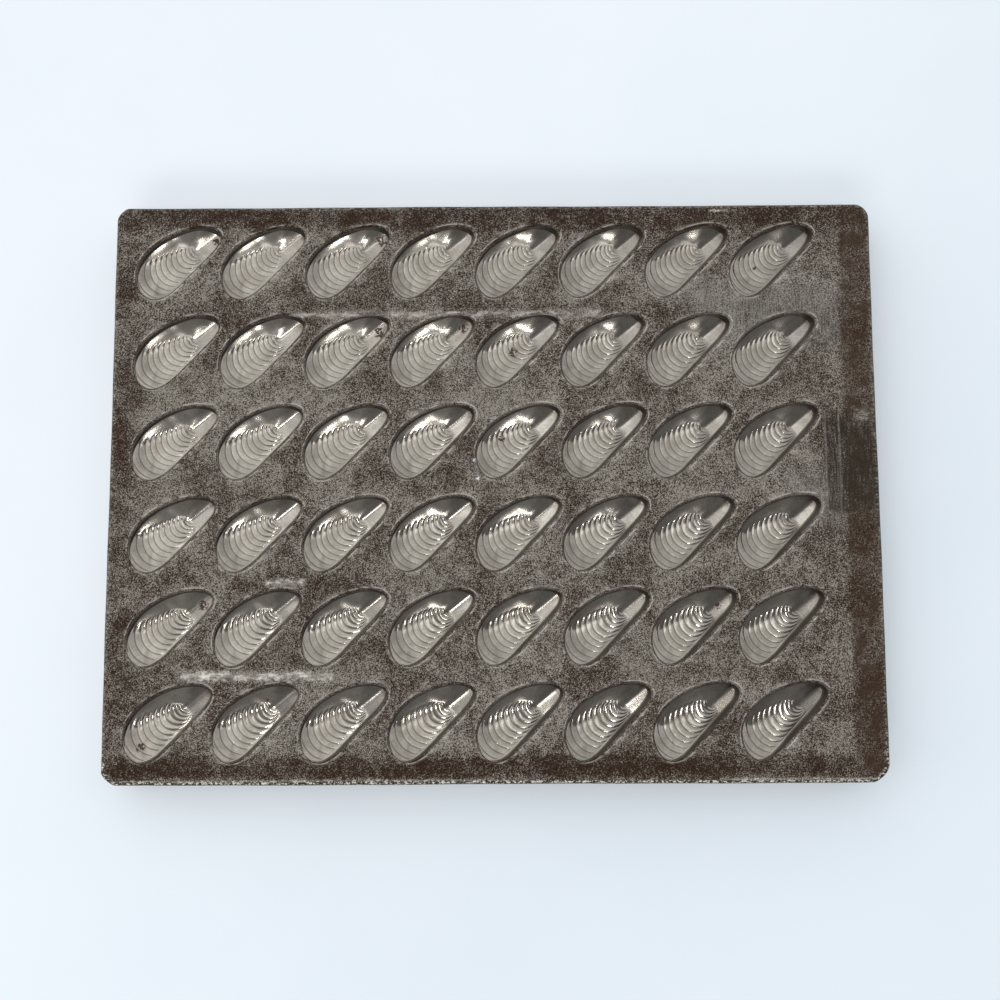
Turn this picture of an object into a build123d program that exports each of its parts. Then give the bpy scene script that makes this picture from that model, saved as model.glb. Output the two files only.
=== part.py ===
from build123d import *
import math
import os

# A flat confectioner's mold for mussel-shaped chocolates, in millimetres.
# The origin is the middle of the underside, +X along the tray, +Y towards its far edge, +Z up.

# One mussel shell: its outline is an egg with a narrow umbo end, bent a little to one side
shell_length = 43.4
shell_width = 20.4
shell_taper = 0.27
shell_fullness = 0.17
shell_bend = 3.2
shell_turn = 39.0
umbo_from_tip = 4.5
cavity_depth = 7.5
cup_sheet = 0.6

# Places round the outline, in degrees from the umbo end, closest together where it is most curved
outline_angles = (0, 22, 48, 90, 124, 148, 171, 196, 222, 255, 300, 335)

# Growth ridges, in degrees down an elliptical section from the rim to the deepest part
ridge_angles = (0, 18, 36, 52, 67, 79)

# Bends of the cup's smoother back, each as its share of the outline and of the whole depth
back_bends = ((0.90, 0.53), (0.42, 1.0))

# The cups lie in straight columns and rows, with a plain margin on the right
columns = 8
rows = 6
column_gap = 9.0
left_margin = 8.6
right_margin = 24.3
far_margin = 8.5
near_margin = 9.5

# Tray
tray_height = 22.0
sheet = 1.0
corner_cut = 5.5
fold_radius = 1.3

# Flat-iron frame inside the folded skirt
rail_thickness = 3.0

# Stiffening strips on edge under the plate, each in the gap between two rows of cups
strip_thickness = 2.5
strip_height = 12.0
strip_clearance = 2.1
stiffened_gaps = {"strip_far": 1, "strip_near": 5}


def shell_point(angle):
    """The point of the shell's outline at an angle about its middle, with the umbo end at 0 degrees."""
    along = math.cos(math.radians(angle))
    across = math.sin(math.radians(angle))
    u = shell_length / 2 * along
    v = shell_width / 2 * across * (1 - shell_taper * along + shell_fullness * along**2)
    v += shell_bend * (0.5 - along**2)
    return Vector(u, v).rotate(Axis.Z, shell_turn)


def umbo():
    """The point just inside the narrow end, about which every growth ring is scaled."""
    u = shell_length / 2 - umbo_from_tip
    return Vector(u, -shell_bend / 2).rotate(Axis.Z, shell_turn)


def flat_face(points):
    """The flat face inside a closed polygon."""
    return make_face(Wire.make_polygon(points, close=True))


def cup_rim(rim):
    """The rim of the cup, one thickness outside the rim of its cavity."""
    wider = offset(flat_face(rim), cup_sheet, kind=Kind.INTERSECTION)
    corners = [edge.position_at(0) for edge in wider.wire().order_edges()]
    first = min(range(len(corners)), key=lambda k: (corners[k] - rim[0]).length)
    return corners[first:] + corners[:first]


inner_rim = [shell_point(angle) for angle in outline_angles]
outer_rim = cup_rim(inner_rim)
cup_left = min(point.X for point in outer_rim)
cup_right = max(point.X for point in outer_rim)
cup_near = min(point.Y for point in outer_rim)
cup_far = max(point.Y for point in outer_rim)

# The slanted cups nest, so the columns are one gap more apart than a shell is wide along X at its middle
turn = math.radians(shell_turn)
slant = math.hypot(shell_length * math.sin(turn), shell_width * math.cos(turn))
column_pitch = shell_length * shell_width / slant + column_gap
row_pitch = cup_far - cup_near + strip_thickness + 2 * strip_clearance
tray_length = left_margin + (cup_right - cup_left) + (columns - 1) * column_pitch + right_margin
tray_width = near_margin + (cup_far - cup_near) + (rows - 1) * row_pitch + far_margin
first_column = -tray_length / 2 + left_margin - cup_left
first_row = tray_width / 2 - far_margin - cup_far


def ring(outline, share, depth):
    """The outline scaled towards the umbo and sunk to a depth below the top of the tray."""
    points = [umbo() + (point - umbo()) * share for point in outline]
    return [Vector(point.X, point.Y, tray_height - depth) for point in points]


def faceted(rings):
    """A solid with flat facets from each ring to the next, closed by the first and the last ring."""
    faces = [flat_face(rings[0]), flat_face(rings[-1])]
    for here, there in zip(rings, rings[1:]):
        for k in range(len(here)):
            faces.append(flat_face([here[k - 1], here[k], there[k], there[k - 1]]))
    return Solid(Shell(faces))


def mussel_cup():
    """A stamped half shell, open at the top: growth ridges inside and a smoother back."""
    back_depth = cavity_depth + cup_sheet
    rings = [ring(outer_rim, share, deep * back_depth) for share, deep in reversed(back_bends)]
    rings += [ring(outer_rim, 1, sheet), ring(outer_rim, 1, 0)]
    for angle in ridge_angles:
        down = math.radians(angle)
        rings.append(ring(inner_rim, math.cos(down), cavity_depth * math.sin(down)))
    return faceted(rings)


def places():
    """Each cup's name and place, row by row from the far left."""
    for row in range(rows):
        for column in range(columns):
            place = Vector(first_column + column * column_pitch, first_row - row * row_pitch)
            yield f"cup_r{row + 1}_c{column + 1}", place


def plan(inset):
    """The tray's outline seen from above, drawn in by an inset, with its four corners clipped."""
    whole = Rectangle(tray_length - 2 * inset, tray_width - 2 * inset)
    return chamfer(whole.vertices(), corner_cut - (2 - math.sqrt(2)) * inset)


def pierced_plate():
    """The top sheet with its skirt folded down all round and a hole for each cup."""
    block = extrude(plan(0), tray_height)
    block = fillet(block.faces().sort_by(Axis.Z)[-1].edges(), fold_radius)
    hollow = extrude(plan(sheet), tray_height - sheet)
    hole = extrude(flat_face(ring(outer_rim, 1, sheet)), sheet, dir=(0, 0, 1))
    return block - hollow - [Pos(place) * hole for _, place in places()]


def rails():
    """Four flat bars on edge inside the skirt: two along the tray and two between them."""
    height = tray_height - sheet
    half_length = tray_length / 2 - sheet
    half_width = tray_width / 2 - sheet
    room = extrude(plan(sheet), height)
    long_bar = Pos(0, half_width - rail_thickness / 2) * Box(2 * half_length, rail_thickness, 2 * height)
    short_length = 2 * (half_width - rail_thickness)
    short_bar = Pos(half_length - rail_thickness / 2, 0) * Box(rail_thickness, short_length, 2 * height)
    far = room & long_bar
    right = room & short_bar
    return {
        "rail_far": far,
        "rail_near": mirror(far, Plane.XZ),
        "rail_right": right,
        "rail_left": mirror(right, Plane.YZ),
    }


def strips():
    """Strips on edge under the plate, from rail to rail, each clear of the cups on both sides."""
    length = tray_length - 2 * sheet - 2 * rail_thickness
    strip = Box(length, strip_thickness, strip_height, align=(Align.CENTER, Align.MIN, Align.MAX))
    first_gap = first_row - row_pitch + cup_far + strip_clearance
    return {
        name: Pos(0, first_gap - (gap - 1) * row_pitch, tray_height - sheet) * strip
        for name, gap in stiffened_gaps.items()
    }


def main():
    os.makedirs("parts", exist_ok=True)
    cup = mussel_cup()
    pieces = {"plate": pierced_plate(), **rails(), **strips()}
    pieces.update({name: Pos(place) * cup for name, place in places()})
    for name, piece in pieces.items():
        export_step(piece, f"parts/{name}.step")


main()
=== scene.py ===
import math
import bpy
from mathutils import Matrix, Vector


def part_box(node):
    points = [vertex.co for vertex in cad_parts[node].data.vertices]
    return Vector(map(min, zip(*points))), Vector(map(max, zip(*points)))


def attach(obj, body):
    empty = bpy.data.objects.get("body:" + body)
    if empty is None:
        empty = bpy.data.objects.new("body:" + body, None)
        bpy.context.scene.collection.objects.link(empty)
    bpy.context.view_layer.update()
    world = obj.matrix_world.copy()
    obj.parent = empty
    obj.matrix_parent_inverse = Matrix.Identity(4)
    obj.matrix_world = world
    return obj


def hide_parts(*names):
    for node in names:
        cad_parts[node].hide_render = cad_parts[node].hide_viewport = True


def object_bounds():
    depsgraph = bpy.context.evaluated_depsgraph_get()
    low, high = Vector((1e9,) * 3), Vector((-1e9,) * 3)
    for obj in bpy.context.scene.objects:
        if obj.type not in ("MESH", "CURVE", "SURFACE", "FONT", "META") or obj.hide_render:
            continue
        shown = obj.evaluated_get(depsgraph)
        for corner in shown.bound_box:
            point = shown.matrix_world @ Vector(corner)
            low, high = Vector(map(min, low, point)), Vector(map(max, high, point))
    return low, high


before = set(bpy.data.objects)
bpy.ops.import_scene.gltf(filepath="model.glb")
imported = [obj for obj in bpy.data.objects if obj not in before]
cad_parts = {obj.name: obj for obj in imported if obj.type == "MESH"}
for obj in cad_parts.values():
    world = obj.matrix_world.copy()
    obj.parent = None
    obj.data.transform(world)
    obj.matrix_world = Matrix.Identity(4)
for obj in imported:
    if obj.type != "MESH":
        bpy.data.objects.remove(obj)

from types import SimpleNamespace

import bpy
import numpy as np
from mathutils import Matrix, Vector

bl_info = {
    "name": "Mussel Chocolate Mold",
    "version": (1, 0, 0),
    "blender": (4, 5, 0),
    "location": "3D View > Sidebar > Mold",
    "description": "A flat metal confectioner's mold with rows of mussel-shell cups",
    "category": "Add Mesh",
}

MM = 0.001
CAD_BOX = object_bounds()
TOP = CAD_BOX[1].z / MM
ROWS = 6
COLUMNS = 8
# Lowest corner of a cup's outline, from the middle of its shell, in mm
CUP_LOW = np.array([-19.075, -17.883])
CUP_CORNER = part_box("cup_r1_c1")[0]
FIRST_CUP = np.array(CUP_CORNER[:2]) / MM - CUP_LOW
PITCH_X = (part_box("cup_r1_c2")[0].x - CUP_CORNER.x) / MM
PITCH_Y = (CUP_CORNER.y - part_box("cup_r2_c1")[0].y) / MM


def linear(text):
    """An sRGB hex value as linear red, green, blue and 1."""
    channels = [int(text[k : k + 2], 16) / 255 for k in (0, 2, 4)]
    return (*(c / 12.92 if c <= 0.04045 else ((c + 0.055) / 1.055) ** 2.4 for c in channels), 1.0)


def number_setting(name, description, value, **kind):
    """A number among the settings."""
    return bpy.props.FloatProperty(name=name, description=description, default=value, precision=5, **kind)


def size_setting(name, description, metres):
    """A length among the settings."""
    return number_setting(name, description, metres, unit="LENGTH")


def colour_setting(name, description, text):
    """A colour among the settings, from its sRGB hex value."""
    return bpy.props.FloatVectorProperty(
        name=name, description=description, default=linear(text), subtype="COLOR", size=4
    )


class MoldShellSettings(bpy.types.PropertyGroup):
    """Sizes of one mussel shell"""

    length: size_setting("Length", "From the tip to the broad end", 0.0434)
    width: size_setting("Width", "Across the shell", 0.0204)
    taper: number_setting("Taper", "How much narrower the umbo end is", 0.27)
    fullness: number_setting("Fullness", "How full both ends are", 0.17)
    bend: size_setting("Bend", "How far the shell is bent to one side", 0.0032)
    turn: number_setting("Turn", "How far a shell is turned from the rows", math.radians(39), subtype="ANGLE")
    umbo_from_tip: size_setting("Umbo", "Distance of the umbo from the tip", 0.0045)
    sheet: size_setting("Sheet", "Thickness of a cup's metal", 0.0006)
    line_relief: size_setting("Line Relief", "Height of the bands between growth lines", 0.00013)
    keel_rise: number_setting("Keel", "How steeply the cup rises beside the keel near the umbo", 0.42)
    brow_rise: number_setting("Brow", "How much more steeply it rises above that", 0.36)
    edge_step: size_setting("Edge Step", "Rise from the lined floor to the upper slope", 0.00025)


class MoldPlateSettings(bpy.types.PropertyGroup):
    """Sizes of the plate"""

    fold_radius: size_setting("Fold Radius", "Outer radius of the folded edge", 0.0013)
    sheet: size_setting("Sheet", "Thickness of the plate", 0.001)
    lip_width: size_setting("Lip Width", "Width of the rounded lip beside a cup", 0.0011)
    lip_drop: size_setting("Lip Drop", "How far the lip goes down", 0.0007)
    unevenness: size_setting("Unevenness", "How far the old sheet is out of flat", 0.0001)


class MoldColourSettings(bpy.types.PropertyGroup):
    """Colours of the mold's finishes"""

    plating: colour_setting("Plating", "Nickel plating of the cups", "B0AAA0")
    tarnish: colour_setting("Tarnish", "Tarnish in the growth lines", "5E554A")
    rust: colour_setting("Rust", "Rust of the cups", "3E261A")
    oxide: colour_setting("Oxide", "Dark brown of the worn plate", "2D1B0D")
    bare: colour_setting("Bare Steel", "Grey of the worn plate", "989288")
    scraped: colour_setting("Scraped Steel", "Greener grey of scraped areas", "92918A")
    # Bright wear, and also the painted highlight on the near edge and fold
    bright: colour_setting("Bright Wear", "Bright worn bands and edges", "E4DED3")
    iron: colour_setting("Tinned Iron", "Dull tinned frame bars", "6E6862")
    stain: colour_setting("Stain", "Brown stain", "372416")
    # Painted shade in the cups' steep walls, on the plate's lips and on its near fold, and real grime in a few
    # patches
    shade_and_grime: colour_setting("Grime", "Dark grime in steep walls and patches", "2C271E")
    solder: colour_setting("Solder", "Paler solder and tin", "A5A199")
    floor: colour_setting("Floor", "Pale paper under the mold", "F1F7FD")
    floor_far: colour_setting("Far Floor", "The paper where it gets less light", "E0E9F0")
    room: colour_setting("Room", "The studio's ceiling and walls", "F6F8FA")


# Kinds of node. A range takes a value, its least and most, and the least and most of what it gives
MATH = "ShaderNodeMath"
MIX = "ShaderNodeMix"
RANGE = "ShaderNodeMapRange"
NOISE = "ShaderNodeTexNoise"
MARK = "ShaderNodeAttribute"
BUMP = "ShaderNodeBump"
VECTOR = "ShaderNodeVectorMath"
SPLIT = "ShaderNodeSeparateXYZ"
# Settings of nodes
SMOOTH = {"interpolation_type": "SMOOTHSTEP"}
TIMES = {"operation": "MULTIPLY"}
TIMES_PLUS = {"operation": "MULTIPLY_ADD"}


def connect(tree, node, inputs):
    """Links or sets a node's inputs, given in order or by place or name."""
    for name, value in (inputs if isinstance(inputs, dict) else dict(enumerate(inputs))).items():
        if isinstance(value, bpy.types.NodeSocket):
            tree.links.new(value, node.inputs[name])
        else:
            node.inputs[name].default_value = value


def add(tree, kind, inputs=(), out=0, **settings):
    """Adds a node with its settings and inputs, and gives the output at a place or name."""
    node = tree.nodes.new(kind)
    for name, value in settings.items():
        setattr(node, name, value)
    connect(tree, node, inputs)
    return node.outputs[out]


def settings_mm(name):
    """A group's settings as plain values, with its lengths in millimetres."""
    group = getattr(bpy.context.scene, name)
    values = {}
    for key, prop in group.bl_rna.properties.items():
        if key not in ("rna_type", "name"):
            values[key] = getattr(group, key) / (MM if prop.unit == "LENGTH" else 1)
    return SimpleNamespace(**values)


def smoothstep(low, high, x):
    """0 below low, 1 above high, and a smooth cubic between them."""
    t = np.clip((x - low) / (high - low), 0.0, 1.0)
    return t * t * (3 - 2 * t)


def smooth_least(a, b, soft):
    """The lesser of a and b, with the edge between them rounded over soft."""
    return 0.5 * (a + b - np.sqrt((a - b) ** 2 + soft**2))


def bent_up(x, soft):
    """0 below 0 and x above it, with the corner between them rounded over soft."""
    return 0.5 * (x + np.sqrt(x**2 + soft**2))


def ring_faces(rings, around):
    """Faces from each ring of points to the next."""
    k = np.arange(rings - 1)[:, None] * around
    j = np.arange(around)[None, :]
    nxt = (j + 1) % around
    return np.stack([k + j, k + nxt, k + around + nxt, k + around + j], -1).reshape(-1, 4)


def seam_faces(first, second, around):
    """Faces between two rings that begin at a first and a second point."""
    j = np.arange(around)
    nxt = (j + 1) % around
    return np.stack([first + nxt, first + j, second + j, second + nxt], -1)


def make_piece(name, points, faces, nodes, material, attributes):
    """Makes a mesh object from points in mm, faces and marks of the points, and puts it in the frame. Points that
    fall together become one, so that seams are closed."""
    _, first, same = np.unique(np.round(points, 4), axis=0, return_index=True, return_inverse=True)
    same = same.reshape(-1)
    mesh = bpy.data.meshes.new(name)
    corners = [same[group] for group in faces if len(group)]
    loops = np.concatenate([group.ravel() for group in corners]).astype(np.int32)
    sizes = np.concatenate([np.full(len(group), group.shape[1]) for group in corners]).astype(np.int32)
    mesh.vertices.add(len(first))
    mesh.vertices.foreach_set("co", (points[first] * MM).astype(np.float32).ravel())
    mesh.loops.add(len(loops))
    mesh.loops.foreach_set("vertex_index", loops)
    mesh.polygons.add(len(sizes))
    starts = np.concatenate([[0], np.cumsum(sizes)[:-1]])
    mesh.polygons.foreach_set("loop_start", starts.astype(np.int32))
    mesh.polygons.foreach_set("use_smooth", np.ones(len(sizes), bool))
    for label, values in attributes.items():
        attribute = mesh.attributes.new(label, "FLOAT", "POINT")
        attribute.data.foreach_set("value", values[first].astype(np.float32))
    mesh.update(calc_edges=True)
    mesh.validate()
    mesh.materials.append(material)
    piece = bpy.data.objects.new(name, mesh)
    bpy.context.scene.collection.objects.link(piece)
    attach(piece, "root")
    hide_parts(*nodes)
    return piece


def turned(points):
    """Points of a shell's own length and width axes, turned into the tray's X and Y."""
    angle = settings_mm("mold_shell").turn
    c, s = math.cos(angle), math.sin(angle)
    return points @ np.array([[c, s], [-s, c]])


def outline(angle):
    """A shell's outline at an angle: half the length times the cosine, and half the width times the sine,
    narrower towards the umbo end, fuller at both ends, and bent to one side by a parabola."""
    s = settings_mm("mold_shell")
    along, across = np.cos(angle), np.sin(angle)
    u = s.length / 2 * along
    v = s.width / 2 * across * (1 - s.taper * along + s.fullness * along**2) + s.bend * (0.5 - along**2)
    return np.stack([u, v], -1)


def outward(angle):
    """Unit normals of the outline, pointing away from the shell."""
    ahead, back = outline(angle + 1e-4), outline(angle - 1e-4)
    along = (ahead - back) / np.linalg.norm(ahead - back, axis=-1, keepdims=True)
    return np.stack([along[..., 1], -along[..., 0]], -1)


def round_outline(angle, values):
    """A value that runs smoothly round the outline through values at the stops."""
    fine = np.linspace(0, 2 * math.pi, 721)[:-1]
    flat = np.interp(fine, np.radians(STOPS), values, period=2 * math.pi)
    kernel = np.exp(-((np.arange(-40, 41) / 16.0) ** 2))
    wide = np.concatenate([flat[-40:], flat, flat[:40]])
    soft = np.convolve(wide, kernel / kernel.sum(), mode="valid")
    return np.interp(np.mod(angle, 2 * math.pi), fine, soft, period=2 * math.pi)


# Stops round the outline, in degrees from the umbo end
STOPS = (0, 25, 55, 90, 130, 155, 180, 205, 235, 260, 300, 335)
# At each stop: the lip's share, the width of the curve from lip to wall, the depth of the wall's foot, how steeply
# that falls inwards, how softly it meets the dish and how much painted shade darkens the wall, with lengths in mm
LIP_SHARE = (1.0, 1.0, 1.0, 0.95, 0.75, 0.5, 0.4, 0.45, 0.8, 0.95, 1.0, 1.0)
WALL_WIDTH = (1.1, 0.7, 0.55, 0.55, 0.5, 0.45, 0.4, 0.45, 1.2, 1.6, 1.6, 1.5)
WALL_FOOT = (4.5, 4.5, 5.5, 5.0, 3.0, 1.5, 1.3, 1.3, 3.4, 6.5, 6.5, 5.5)
WALL_SLOPE = (0.8, 0.8, 0.8, 0.8, 0.7, 0.45, 0.38, 0.38, 0.8, 0.8, 0.8, 0.8)
WALL_SOFTNESS = (0.35, 0.35, 0.35, 0.35, 0.8, 1.5, 1.8, 1.6, 0.7, 0.35, 0.35, 0.35)
WALL_SHADE = (0.8, 0.35, 0.3, 0.3, 0.25, 0.12, 0.1, 0.2, 0.8, 1.0, 1.0, 1.0)
# How far the plate's hole is outside a shell's outline, in mm
HOLE_OUTSIDE = 0.6


def lip_inside(angle):
    """How far the lip reaches inside the outline: most at the tip and the sides, and not at the broad end."""
    return settings_mm("mold_plate").lip_width * round_outline(angle, LIP_SHARE) - HOLE_OUTSIDE


def lip_drop(angle):
    """How far down the lip ends."""
    return settings_mm("mold_plate").lip_drop * round_outline(angle, LIP_SHARE)


def nearest_rim(points):
    """Each point's distance inside the outline, and the outline's angle where it is nearest."""
    angles = np.linspace(0, 2 * math.pi, 1201)[:-1]
    rim, normal = outline(angles), outward(angles)
    k = ((points[:, None, :] - rim[None]) ** 2).sum(-1).argmin(1)
    return ((rim[k] - points) * normal[k]).sum(-1), angles[k]


# Where a shell began to grow, and how its circles' middles move as they widen
GROWTH_START = (17.0, 0.5)
GROWTH_DRIFT = (-2.249, -0.06)
# Growth at each line, in mm: close together by the umbo and then evenly apart
LINE_GROWTH = (3.0, 3.5, 4.05, 4.75, 5.5, 6.35, 7.2, 8.05, 8.87, 9.68, 10.56, 11.44)
# Growth from line to line before the first and after the last, in mm
GROWTH_BEFORE, GROWTH_AFTER = 0.5, 0.88
# Where the lined floor ends at the smooth upper slope, along and across a shell
LINED_EDGE = ((-22, 9.5), (-16, 9.8), (-12, 9.6), (-6.4, 8.8), (-0.7, 7.4), (3.6, 6.0), (6, 4.2), (9, 1.4))
# Where the lines begin and are clear: mm below that edge, widths of the wall's curve, mm of growth and mm along
LINES_BELOW_EDGE = (0.1, 1.3)
LINES_FROM_LIP = (0.9, 2.3)
LINES_FROM_UMBO = (2.75, 3.0)
LINES_ALONG = (9.0, 6.5)
# Where the step up to the slope begins and ends, in mm above the edge and in mm along
STEP_ACROSS = (-1.3, -0.1)
STEP_ALONG = (7.0, 2.5)
# The lines' upper ends glint so far below the edge, and then fade over so far, in mm
GLINT_FULL, GLINT_FADE = 1.0, 1.8
# Each term of the dish's depth in mm: its factor and its powers of the place along and across
DISH = (
    (4.920, 0, 0), (-0.0211, 1, 0), (-0.0293, 0, 1), (-0.00577, 2, 0), (-0.01265, 1, 1), (-0.00204, 0, 2),
    (-0.000096, 3, 0), (-0.000238, 2, 1), (0.000441, 1, 2), (-0.001105, 0, 3),
)
# The facet near the umbo: its depth at a place along, its rise to the tip and upwards, and where it takes over
FACET_DEPTH, FACET_PLACE, FACET_SLOPE = 5.45, 8, 0.03
FACET_ALONG = (2.5, 9.0)
# How softly it meets the dish, in mm, how much more softly higher up, and between which heights
FACET_SOFT, FACET_SOFTER, FACET_ACROSS = 0.6, 0.6, (0.5, 3.5)
# How far the keel is below the middle line and the brow above it, and how softly each bends, in mm
KEEL_LINE, KEEL_SOFTNESS = 0.35, 0.9
BROW_LINE, BROW_SOFTNESS = 2.0, 2.0
# How far below the lip's edge the cup's inside begins, and how far under the lip, in mm
BELOW_LIP = 0.12
UNDER_LIP = 0.15


def growth(points):
    """How far the shell had grown at each point: growth lines are arcs of circles whose middles move away from
    the umbo 2.25 times as fast as they widen, and the value is the radius of the circle through the point."""
    q = points - np.array(GROWTH_START)
    m = np.array(GROWTH_DRIFT)
    along = q @ m
    spread = (m @ m) - 1
    return (along - np.sqrt(np.maximum(0, along**2 - spread * (q**2).sum(-1)))) / spread


def dish_depth(u, v):
    """Depth of the smooth dish under the whole shell, a cubic in both directions: deepest low and towards the umbo,
    and rising ever more steeply to the upper side and the tip."""
    return sum(factor * u**i * v**j for factor, i, j in DISH)


def cup_depth(points):
    """Depth of the cup's inside without its growth bands. Near the umbo the dish gives way to a facet, nearly level
    below the keel, rising beside it, and more steeply above the brow. A low step goes up from the lined floor to the
    smooth upper slope, and a steep wall goes down to all of it from the lip.
    Returns the depth, the growth level, how clear the lines are, the glint at their upper ends and the wall's painted
    shade."""
    shell = settings_mm("mold_shell")
    u, v = points[:, 0], points[:, 1]
    rim_distance, angle = nearest_rim(points)
    inside = np.maximum(rim_distance - lip_inside(angle), 0)
    curve = inside / round_outline(angle, WALL_WIDTH)
    edge = np.interp(u, *np.array(LINED_EDGE).T)

    facet = FACET_DEPTH - FACET_SLOPE * (u - FACET_PLACE) - FACET_SLOPE * v
    facet = facet - shell.keel_rise * bent_up(v + KEEL_LINE, KEEL_SOFTNESS)
    facet = facet - shell.brow_rise * bent_up(v - BROW_LINE, BROW_SOFTNESS)
    near = smoothstep(*FACET_ALONG, u)
    soft = FACET_SOFT + FACET_SOFTER * smoothstep(*FACET_ACROSS, v)
    deep = (1 - near) * dish_depth(u, v) - near * smooth_least(-dish_depth(u, v), -facet, soft)
    deep = deep - shell.edge_step * smoothstep(*STEP_ACROSS, v - edge) * smoothstep(*STEP_ALONG, u)
    foot = round_outline(angle, WALL_FOOT) + round_outline(angle, WALL_SLOPE) * inside + 0.03 * inside**2
    deep = smooth_least(deep, foot, round_outline(angle, WALL_SOFTNESS))
    wall = np.clip(curve, 0, 1)
    start = lip_drop(angle) + BELOW_LIP
    depth = start + np.maximum(deep - start, 0) * (1 - (1 - wall) ** 1.25)

    radius = growth(points)
    level = np.interp(radius, LINE_GROWTH, np.arange(len(LINE_GROWTH)))
    level = level + np.maximum(radius - LINE_GROWTH[-1], 0) / GROWTH_AFTER
    level = level + np.minimum(radius - LINE_GROWTH[0], 0) / GROWTH_BEFORE
    clear = smoothstep(*LINES_BELOW_EDGE, edge - v) * smoothstep(*LINES_FROM_LIP, curve)
    clear = clear * smoothstep(*LINES_FROM_UMBO, radius) * smoothstep(*LINES_ALONG, u)
    glint = np.exp(-np.maximum(0, edge - v - GLINT_FULL) / GLINT_FADE)
    return depth, level, clear, glint, (1 - wall) * round_outline(angle, WALL_SHADE)


def band_height(level, clear, glint):
    """Height of the growth bands: each is crowned from line to line by a parabola, and by up to 0.6 more at its
    upper end."""
    relief = settings_mm("mold_shell").line_relief
    crown = 1 - np.abs(2 * np.mod(level, 1.0) - 1) ** 2.0
    return relief * clear * crown * (1 + 0.6 * glint)


# Points round a cup, and its rings down the wall and over the floor: how many, and the last one's share of the rim
AROUND = 120
WALL_RINGS, WALL_SHARE = 38, 0.76
FLOOR_RINGS, FLOOR_SHARE = 94, 0.012
# The back's rings as shares of the rim, the depths of the solder's two edges, its reach outwards and how many rings
# it fades over, and the back's greatest depth, in mm
BACK_SHARES = (1.0, 1.0, 0.985, 0.95, 0.9, 0.84, 0.76, 0.66, 0.55, 0.43, 0.3, 0.17, 0.06)
SOLDER_DEPTHS = (1.02, 1.9)
SOLDER_REACH, SOLDER_FADE = 1.1, 1.3
BACK_DEEPEST = 7.95
# Where the brown tip begins and is full, in mm from the outline's end
TIP_REACH = (5.0, 1.2)


def cup_shapes():
    """One cup in its own axes: rings scaled towards the umbo, close together at the rim, then its back, which is
    smoother and one sheet lower, with a fillet of solder under the plate."""
    s = settings_mm("mold_shell")
    angle = np.arange(AROUND) * 2 * math.pi / AROUND
    umbo = np.array([s.length / 2 - s.umbo_from_tip, -s.bend / 2])
    start = outline(angle) - outward(angle) * (lip_inside(angle) - UNDER_LIP)[:, None]
    on_wall = np.linspace(1, WALL_SHARE, WALL_RINGS)
    share = np.concatenate([on_wall, np.linspace(WALL_SHARE, FLOOR_SHARE, FLOOR_RINGS)[1:]])
    inner = (umbo + share[:, None, None] * (start - umbo)).reshape(-1, 2)
    depth, level, clear, glint, wall = cup_depth(inner)
    tip = smoothstep(*TIP_REACH, np.linalg.norm(inner - outline(np.zeros(1)), axis=1))

    # The back's rings: the solder fillet under the plate, then the wall and the smooth bottom
    back_share = np.array(BACK_SHARES)
    rings, back_rings = len(share), len(back_share)
    reach = SOLDER_REACH * (np.arange(back_rings) == 0)
    outer = outline(angle) + outward(angle) * s.sheet
    back = umbo + back_share[:, None, None] * (outer - umbo) + reach[:, None, None] * outward(angle)
    seen = umbo + np.minimum(back_share, BACK_SHARES[2])[:, None, None] * (outline(angle) - umbo)
    down = cup_depth(seen.reshape(-1, 2))[0].reshape(back_rings, AROUND) + s.sheet
    down = np.minimum(down, BACK_DEEPEST)
    down[0], down[1] = SOLDER_DEPTHS
    down[2] = np.maximum(down[2] * 0.6, 2.4)

    plan = np.concatenate([inner, back.reshape(-1, 2), umbo[None], umbo[None]])
    depths = np.concatenate([depth, down.ravel(), [depth[-AROUND:].mean(), down[-1].mean()]])
    first_back = rings * AROUND
    pole = first_back + back_rings * AROUND
    back_faces = ring_faces(back_rings, AROUND)[:, ::-1] + first_back
    quads = np.concatenate([ring_faces(rings, AROUND), seam_faces(0, first_back, AROUND), back_faces])
    j = np.arange(AROUND)
    nxt = (j + 1) % AROUND
    last = first_back - AROUND
    fan = np.stack([last + j, last + nxt, np.full(AROUND, pole)], -1)
    back_fan = np.stack([pole - AROUND + nxt, pole - AROUND + j, np.full(AROUND, pole + 1)], -1)

    # The marks are 0 on the back, but for its own two
    pad = np.zeros(back_rings * AROUND + 2)
    inside = {"growth": level, "lines": clear, "wall": wall, "tip": tip}
    marks = {name: np.concatenate([values, pad]) for name, values in inside.items()}
    marks["back"] = np.concatenate([np.zeros(first_back), np.ones(back_rings * AROUND), [0.0, 1.0]])
    solder = np.repeat(np.exp(-np.arange(back_rings) / SOLDER_FADE), AROUND)
    marks["solder"] = np.concatenate([np.zeros(first_back), solder, [0.0, 0.0]])
    return plan, depths, [quads, np.concatenate([fan, back_fan])], marks, np.concatenate([glint, pad])


# Rust spots: X, Y and reach in mm
RUST = (
    (-122.6, 110.8, 1.5), (-49.4, 110.9, 2.6), (-50.0, 69.2, 2.4), (-13.1, 71.2, 2.2), (8.6, 60.0, 2.1),
    (3.6, 21.8, 1.6), (-124.7, -49.5, 2.4), (95.5, -50.6, 1.5), (-149.3, -108.9, 1.9), (-96.5, -89.4, 1.2),
    (115.4, 97.3, 1.1),
)


def rust_at(xy):
    """How rusty each point is: the highest of round spots that fade over their reach."""
    spots = np.array(RUST)
    far = np.linalg.norm(xy[:, None, :] - spots[None, :, :2], axis=-1)
    return np.exp(-((far / spots[None, :, 2]) ** 2)).max(1)


def middle(row, column):
    """The middle of a shell on the tray, in mm."""
    return FIRST_CUP + np.array([column * PITCH_X, -row * PITCH_Y])


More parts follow.
